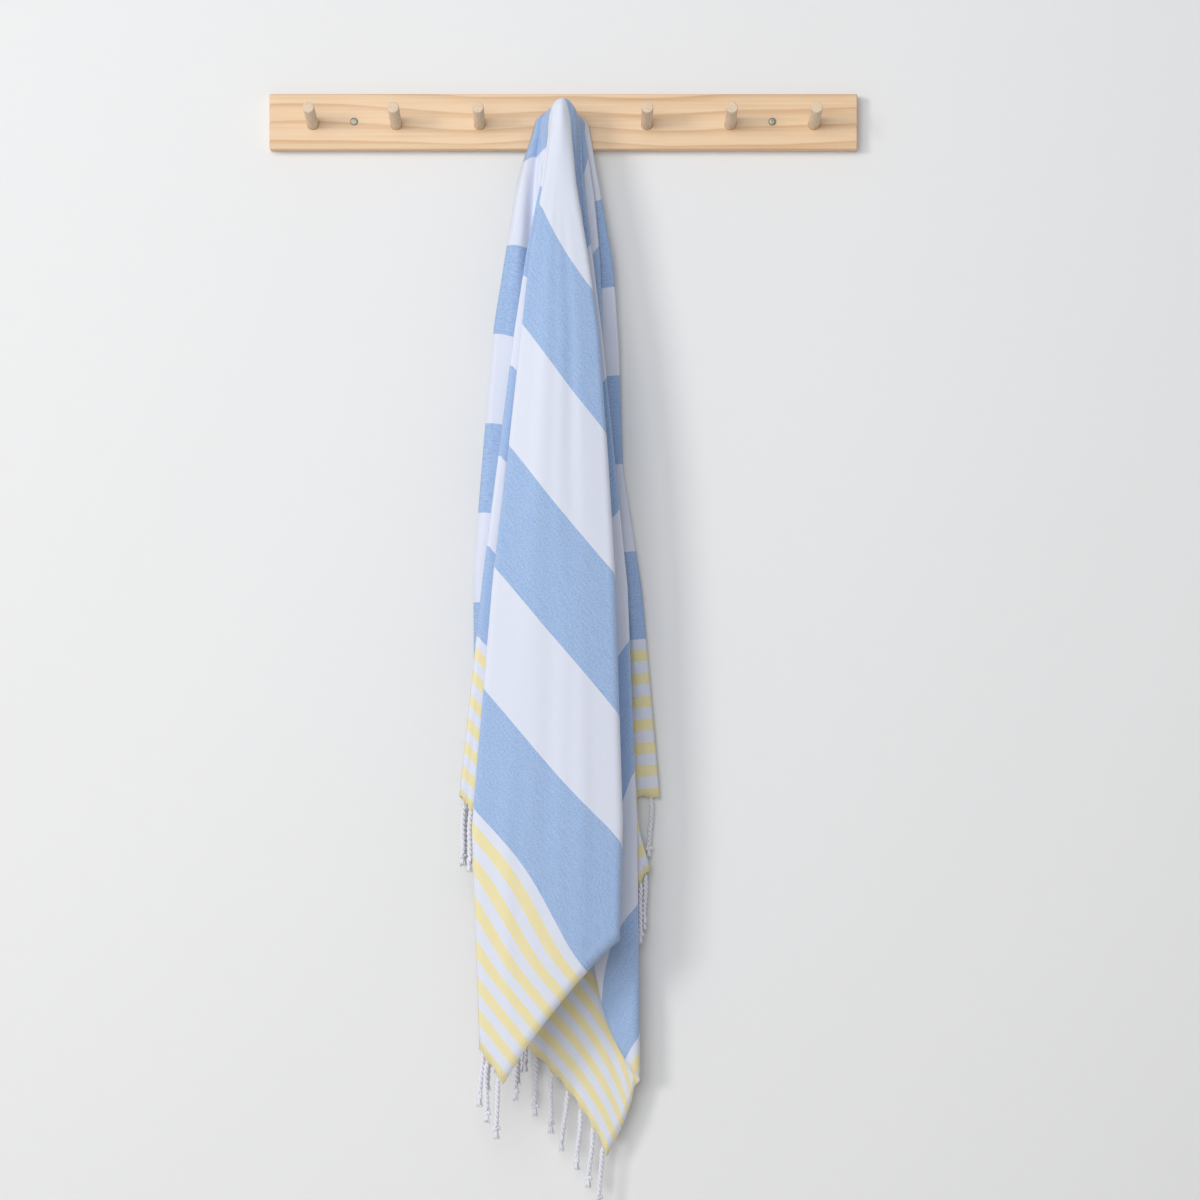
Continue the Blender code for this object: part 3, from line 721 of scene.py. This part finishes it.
# %% [markdown]
# ## The cotton
# A cloth of this kind has a white warp along its length, and a weft that changes colour: broad blue and
# white bands, and narrow yellow and white ones near the hems. The white warp shows through the coloured
# weft, so the bands look heathered and pale. Everything is worked out from a point's place in the flat
# cloth: its distance from the nearer hem picks the band, and in two crossed waves each half wave, 0.8 mm
# long, is a thread.

# %% Stripes
# Distances from the hem and repeats of the bands, in metres.
BORDER_END = 0.197
BAND_REPEAT = 0.2166
YELLOW_REPEAT = 0.0283
WAVER = 2.0 * MM
COTTON_WHITE = (0.71, 0.75, 0.87)
DYED_BLUE = (0.20, 0.38, 0.69)
DYED_YELLOW = (0.86, 0.73, 0.26)

cotton = Finish("woven_cotton", roughness=0.92, sheen_weight=0.25, sheen_roughness=0.6)
cloth_place = cotton.node("ShaderNodeAttribute", {"attribute_name": "cloth_place"}, {}, "Vector")
across, along, _ = cotton.parts(cloth_place)
waver = cotton.noise(cotton.join(across * 9.0, along * 30.0, 0.0), 1.0) - 0.5
from_hem = 0.5 * CLOTH_LENGTH - abs(along + waver * WAVER - 0.5 * CLOTH_LENGTH)
in_field = from_hem > BORDER_END
blue_band = ((from_hem - BORDER_END) / BAND_REPEAT).fraction() < 0.5
yellow_band = (from_hem / YELLOW_REPEAT).fraction() < 0.5
blue_weft = in_field * blue_band
yellow_weft = (1.0 - in_field) * yellow_band
print("bands:", len(cotton.tree.nodes), "nodes")

# %% Weave
# A slub is a long thick place in the weft. The heather is the mottle of warp that shows through it.
THREAD_PITCH = 0.8 * MM

warp_wave = (across * (math.pi / THREAD_PITCH)).sine()
weft_wave = (along * (math.pi / THREAD_PITCH)).sine()
over_under = warp_wave * weft_wave
slub = cotton.noise(cotton.join(across * 40.0, along * 900.0, 0.0), 1.0)
heather = cotton.noise(cotton.join(across * 420.0, along * 420.0, 0.0), 1.0, 3.0)
# An even part, the crossing threads, the mottle and the slubs, each by how much of the warp it shows.
warp_shows = 0.15 + 0.16 * (0.5 + 0.5 * over_under) + 0.75 * (heather - 0.45) + 0.45 * (slub - 0.5)
cover = cotton.ramp(warp_shows, (0.0, 0.0), (0.6, 0.6))
blue = cotton.mix(cover, DYED_BLUE, COTTON_WHITE)
yellow = cotton.mix(cover, DYED_YELLOW, COTTON_WHITE)
colour = cotton.mix(yellow_weft, cotton.mix(blue_weft, COTTON_WHITE, blue), yellow)
crinkle = cotton.noise(cloth_place, 55.0, 3.0)
soft_dents = cotton.bump(crinkle, 1.2 * MM, 0.5)
threads = cotton.bump(abs(over_under) + 0.6 * slub, 0.12 * MM, 0.6, soft_dents)
cotton.feed(base_color=colour, normal=threads)
print("cotton:", len(cotton.tree.nodes), "nodes")

# %% The towel
def strip_faces(count, length):
    """Faces between neighbouring lines of points, all of one length."""
    return [(i * length + j, i * length + j + 1, (i + 1) * length + j + 1, (i + 1) * length + j)
            for i in range(count - 1) for j in range(length - 1)]


def keep_places(mesh, values):
    """Keep each point's place in the flat cloth on the mesh, where the cotton reads it."""
    layer = mesh.attributes.new("cloth_place", "FLOAT_VECTOR", "POINT")
    flat = np.zeros((len(mesh.vertices), 3), np.float32)
    flat[:, :2] = values
    layer.data.foreach_set("vector", flat.ravel())


line_count, row_length = grid.shape[:2]
# The first points of all lines run round the ridge, and one polygon, cut into triangles, closes the cloth.
crest_loop = [k * row_length for k in range(line_count)]
towel = add_piece("towel_cloth", grid.reshape(-1, 3).tolist(),
                  [*strip_faces(line_count, row_length), crest_loop], cotton.material)
keep_places(towel.data, places.reshape(-1, 2))
whole = bmesh.new()
whole.from_mesh(towel.data)
crest_faces = [face for face in whole.faces if len(face.verts) > 4]
bmesh.ops.triangulate(whole, faces=crest_faces)
bmesh.ops.recalc_face_normals(whole, faces=whole.faces)
whole.to_mesh(towel.data)
whole.free()
shell = towel.modifiers.new("thickness", "SOLIDIFY")
shell.thickness = CLOTH_THICKNESS
shell.offset = 0.0
shell.use_quality_normals = True
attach(towel, "root")
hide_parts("towel")
print("towel:", len(towel.data.polygons), "faces on one side")

# %% [markdown]
# ## The fringe
# Each strand is two bundles of warp ends, each twisted one way and then laid round each other the other
# way, so that they hold. Near the end the strand is tied in a knot, and the loose ends below it stand out in
# a tuft. A tube is swept along each bundle's helix, and a small closed loop makes the knot.

# %% Sweep a tube
UNLIKE_ANY_LINE = np.array([0.31, 0.93, 0.17])


def add_tube(points, faces, centres, radii, sides, closed=False):
    """A tube of the given sides round a line of centres. An open line gets a cap on each end."""
    centres = np.array(centres)
    ahead = np.roll(centres, -1, axis=0) - np.roll(centres, 1, axis=0)
    if not closed:
        ahead[0], ahead[-1] = centres[1] - centres[0], centres[-1] - centres[-2]
    ahead /= np.linalg.norm(ahead, axis=1)[:, None]
    base = len(points)
    for centre, way, radius in zip(centres, ahead, radii):
        side = np.cross(way, UNLIKE_ANY_LINE)
        side /= np.linalg.norm(side)
        other = np.cross(way, side)
        for k in range(sides):
            phase = 2.0 * math.pi * k / sides
            points.append(tuple(centre + radius * (side * math.cos(phase) + other * math.sin(phase))))
    rings = len(centres)
    for ring in range(rings if closed else rings - 1):
        following = (ring + 1) % rings
        for k in range(sides):
            beside = (k + 1) % sides
            faces.append((base + ring * sides + k, base + ring * sides + beside,
                          base + following * sides + beside, base + following * sides + k))
    if not closed:
        faces.append(tuple(base + k for k in reversed(range(sides))))
        faces.append(tuple(base + (rings - 1) * sides + k for k in range(sides)))


print("tube sweep ready")

# %% The two plies
STRAND_LENGTH = 76 * MM
PLY_RADIUS = 1.8 * MM
PLY_OFFSET = 1.55 * MM
PLY_RINGS = 54
PLY_SIDES = 6
TWIST_PITCH = 12 * MM
ROOT_LENGTH = 7 * MM
KNOT_START = 58 * MM
# Where the strand leaves the hem its plies are drawn together, and each is thinner.
ROOT_OPENING = 0.35
ROOT_THINNING = 0.45


def strand_line(root, lean, share):
    """A point on the strand's middle line: it leaves the hem downwards, bends and drifts to its lean."""
    drift = share * share * (3.0 - 2.0 * share)
    bend = lean[2] * math.sin(2.0 * math.pi * share)
    x = root[0] + lean[0] * drift + bend
    return np.array([x, root[1] + lean[1] * drift, root[2] - share * STRAND_LENGTH])


def add_plies(points, faces, root, lean, turn):
    """Two plies laid round each other, from the hem to the knot."""
    for ply in (0.0, math.pi):
        centres, radii = [], []
        for ring in range(PLY_RINGS):
            down = KNOT_START * ring / (PLY_RINGS - 1)
            opened = ROOT_OPENING + (1.0 - ROOT_OPENING) * smoothstep(0.0, ROOT_LENGTH, down)
            phase = ply + turn + 2.0 * math.pi * down / TWIST_PITCH
            middle = strand_line(root, lean, down / STRAND_LENGTH)
            centres.append(middle + PLY_OFFSET * opened * np.array([math.cos(phase), math.sin(phase), 0.0]))
            radii.append(PLY_RADIUS * (1.0 - ROOT_THINNING + ROOT_THINNING * opened))
        add_tube(points, faces, centres, radii, PLY_SIDES)


print("a strand is", round(2000 * (PLY_RADIUS + PLY_OFFSET), 1), "mm thick")

# %% The knot and the tuft
KNOT_LENGTH = 7 * MM
KNOT_MIDDLE = 0.4
KNOT_STEPS = 26
KNOT_YARN = 1.8 * MM
# In millimetres: the loop reaches almost three times the first two of these across and up, and the last
# one in depth.
KNOT_ACROSS, KNOT_UP, KNOT_DEEP = 1.4, 1.15, 1.1
TUFT_THREADS = 12
TUFT_SIDES = 4
TUFT_START = 0.7
TUFT_HALF = 0.8 * MM
TUFT_SHARES = (0.0, 0.35, 0.7, 1.0)
TUFT_RADII = (1.05 * MM, 1.1 * MM, 1.0 * MM, 0.6 * MM)
# What a thread has at least, and what chance can add: millimetres that it leans out, and its share of the
# tuft's length.
LEAST_OUT, CHANCE_OUT = 0.9, 2.4
LEAST_FALLEN, CHANCE_FALLEN = 0.6, 0.3


def add_knot(points, faces, middle, turn):
    """An overhand knot, pulled tight: a closed loop that passes over itself three times."""
    centres = []
    for step in range(KNOT_STEPS):
        t = 2.0 * math.pi * step / KNOT_STEPS
        x = KNOT_ACROSS * (math.sin(t) + 2.0 * math.sin(2.0 * t))
        y = KNOT_UP * (math.cos(t) - 2.0 * math.cos(2.0 * t))
        z = KNOT_DEEP * -math.sin(3.0 * t)
        flat = np.array([x * math.cos(turn), x * math.sin(turn), -y])
        centres.append(middle + MM * (flat + z * np.array([-math.sin(turn), math.cos(turn), 0.0])))
    add_tube(points, faces, centres, [KNOT_YARN] * KNOT_STEPS, PLY_SIDES, closed=True)


def add_tuft(points, faces, start, length, turn, jitter):
    """The loose ends below the knot, each of its own length and leaning out by its own amount."""
    for thread in range(TUFT_THREADS):
        phase = 2.0 * math.pi * thread / TUFT_THREADS + turn
        out = (LEAST_OUT + CHANCE_OUT * jitter[thread]) * MM
        fall = length * (LEAST_FALLEN + CHANCE_FALLEN * jitter[thread])
        centres = []
        for share in TUFT_SHARES:
            away = TUFT_HALF + out * share
            centres.append(start + np.array([away * math.cos(phase), away * math.sin(phase), -fall * share]))
        add_tube(points, faces, centres, TUFT_RADII, TUFT_SIDES)


def add_strand(points, faces, root, lean, turn, jitter):
    """A two-ply strand with its knot and tuft."""
    add_plies(points, faces, root, lean, turn)
    knot_middle = strand_line(root, lean, (KNOT_START + KNOT_MIDDLE * KNOT_LENGTH) / STRAND_LENGTH)
    add_knot(points, faces, knot_middle, turn)
    tuft_start = strand_line(root, lean, (KNOT_START + TUFT_START * KNOT_LENGTH) / STRAND_LENGTH)
    tuft_length = STRAND_LENGTH - KNOT_START - TUFT_START * KNOT_LENGTH
    add_tuft(points, faces, tuft_start, tuft_length, turn, jitter)


print("a tuft has", TUFT_THREADS, "threads")

# %% [markdown]
# ## The yarn
# The strands are bleached cotton. What shows on them is the lay of the fibres and the shadow between the
# two plies, so the finish is white and dull, with a fine noise stretched along the strand.

# %% Yarn finish and both fringes
yarn = Finish("cotton_yarn", roughness=0.95, sheen_weight=0.3, sheen_roughness=0.6)
yarn_place = yarn.node("ShaderNodeTexCoord", {}, {}, "Object")
x, y, z = yarn.parts(yarn_place)
fibres = yarn.noise(yarn.join(x * 2600.0, y * 2600.0, z * 900.0), 1.0, 3.0)
yarn.feed(base_color=yarn.mix(fibres, (0.68, 0.69, 0.78), (0.86, 0.87, 0.93)),
          normal=yarn.bump(fibres, 0.3 * MM, 0.7))

# How far a strand's end leans across and in depth, and how far its middle bends, in millimetres: the
# average, and how much chance adds or takes away.
USUAL_LEAN = np.array([-3.5, 0.0, 0.0])
CHANCE_LEAN = np.array([4.5, 1.5, 1.4])
# Each strand is turned by this much more than the one before it, in radians.
NEXT_TURN = 0.7
NEAR_HEM = 20 * MM


def make_fringe(name, node, hem_length):
    """All the strands of one hem, as one piece."""
    picked = [k for k in range(line_count) if abs(places[k, -1, 1] - hem_length) < NEAR_HEM]
    widths = places[picked, -1, 0]
    order = np.argsort(widths)
    edge = grid[picked, -1]
    chance = np.random.default_rng(7 if hem_length else 3)
    points, faces = [], []
    for number, place in enumerate(HEM_STRANDS[hem_length]):
        root = np.array([np.interp(place, widths[order], edge[order, axis]) for axis in range(3)])
        lean = USUAL_LEAN + CHANCE_LEAN * chance.uniform(-1.0, 1.0, 3)
        jitter = chance.uniform(0.0, 1.0, TUFT_THREADS)
        add_strand(points, faces, root, lean * MM, NEXT_TURN * number, jitter)
    fringe = add_piece(name, points, faces, yarn.material)
    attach(fringe, "root")
    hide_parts(node)
    print(name, sum(len(face) - 2 for face in faces), "triangles")
    return fringe


fringe_left = make_fringe("fringe_left_yarn", "fringe_left", 0.0)
fringe_right = make_fringe("fringe_right_yarn", "fringe_right", CLOTH_LENGTH)

# %% [markdown]
# ## The pine board
# The board is flat-sawn pine: the growth rings meet its face at a low angle, so the dark lines of latewood
# are wide apart and wander along the board. A ring is a tilted plane that a slow noise bends. On the board's
# ends the same planes show as close, nearly upright lines. A thin varnish goes over it.

# %% Pine
RING_PITCH = 5.2 * MM
RING_SLOPE = 0.27
pine = Finish("pine", roughness=0.5, coat_weight=0.12, coat_roughness=0.35)
pine_place = pine.node("ShaderNodeTexCoord", {}, {}, "Object")
x, y, z = pine.parts(pine_place)
bend = pine.noise(pine.join(x * 3.2, z * 6.0, 0.7), 1.0, 1.0) - 0.5
ripple = pine.noise(pine.join(x * 14.0, z * 40.0, 3.1), 1.0, 2.0) - 0.5
rings = (y + RING_SLOPE * z) / RING_PITCH + 2.6 * bend + 0.16 * ripple
latewood = pine.ramp(rings.fraction(), (0.0, 0.10), (0.10, 0.0), (0.55, 0.12), (0.86, 0.80), (0.93, 1.0),
                     (1.0, 0.10))
fibre = pine.noise(pine.join(x * 12.0, y * 700.0, z * 700.0), 1.0, 3.0)
tone = pine.noise(pine.join(x * 5.0, y * 20.0, z * 30.0), 1.0, 1.0)
streak = pine.noise(pine.join(x * 4.0, y * 90.0, z * 260.0), 1.0, 2.0)
# Latewood, fibres, streaks and slow changes of tone, each by how much it darkens the wood.
pine_dark = 0.62 * latewood + 0.25 * (fibre - 0.5) + 0.75 * (streak - 0.46) + 0.35 * (tone - 0.5)
pine_colour = pine.mix(pine_dark, (0.80, 0.58, 0.37), (0.56, 0.31, 0.13))
pine.feed(base_color=pine_colour, normal=pine.bump(fibre - 0.5 * latewood, 0.15 * MM, 0.5))
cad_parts["board"].data.materials.clear()
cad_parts["board"].data.materials.append(pine.material)
print("pine:", len(pine.tree.nodes), "nodes")

# %% [markdown]
# ## The pegs
# The pegs are turned beech, unvarnished and greyer than the board, with short dark flecks along the grain.
# They lean up by 10.5 degrees, so the grain's own axis is turned by as much before the flecks are stretched
# along it.

# %% Beech
beech = Finish("beech", roughness=0.62)
beech_place = beech.node("ShaderNodeTexCoord", {}, {}, "Object")
x, y, z = beech.parts(beech_place)
out = z * math.sin(PEG_TILT) - y * math.cos(PEG_TILT)
rise = z * math.cos(PEG_TILT) + y * math.sin(PEG_TILT)
fleck_noise = beech.noise(beech.join(x * 900.0, out * 90.0, rise * 900.0), 1.0, 2.0)
flecks = beech.ramp(fleck_noise, (0.52, 0.0), (0.68, 1.0))
broad = beech.noise(beech.join(x * 160.0, out * 14.0, rise * 160.0), 1.0, 2.0)
beech_base = beech.mix(broad, (0.82, 0.66, 0.49), (0.68, 0.52, 0.36))
beech.feed(base_color=beech.mix(0.45 * flecks, beech_base, (0.46, 0.31, 0.19)),
           normal=beech.bump(fleck_noise, 0.12 * MM, 0.5))
for number in range(1, 8):
    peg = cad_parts[f"peg_{number}"]
    peg.data.materials.clear()
    peg.data.materials.append(beech.material)
print("beech:", len(beech.tree.nodes), "nodes")

# %% [markdown]
# ## The screws
# The two countersunk screws are yellow-passivated zinc. The film is uneven, so the colour drifts between
# grey and olive, and so does the gloss. The recess is dark because little light gets into it.

# %% Zinc
zinc = Finish("zinc_steel", metallic=0.85)
zinc_place = zinc.node("ShaderNodeTexCoord", {}, {}, "Object")
film = zinc.noise(zinc_place, 700.0, 2.0)
zinc.feed(base_color=zinc.mix(film, (0.20, 0.21, 0.20), (0.52, 0.52, 0.36)), roughness=0.3 + 0.3 * film)
for side in ("left", "right"):
    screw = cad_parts[f"screw_{side}"]
    screw.data.materials.clear()
    screw.data.materials.append(zinc.material)
print("zinc:", len(zinc.tree.nodes), "nodes")

# %% [markdown]
# ## Sizes
# Both boxes are printed: that of the solids, and that of the dressed object, from which
# cloth may stand proud.

dressed_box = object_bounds()
for label, box in (("solids", solid_box), ("dressed", dressed_box)):
    print(label, [round(1000 * (high - low), 1) for low, high in zip(*box)], "mm")
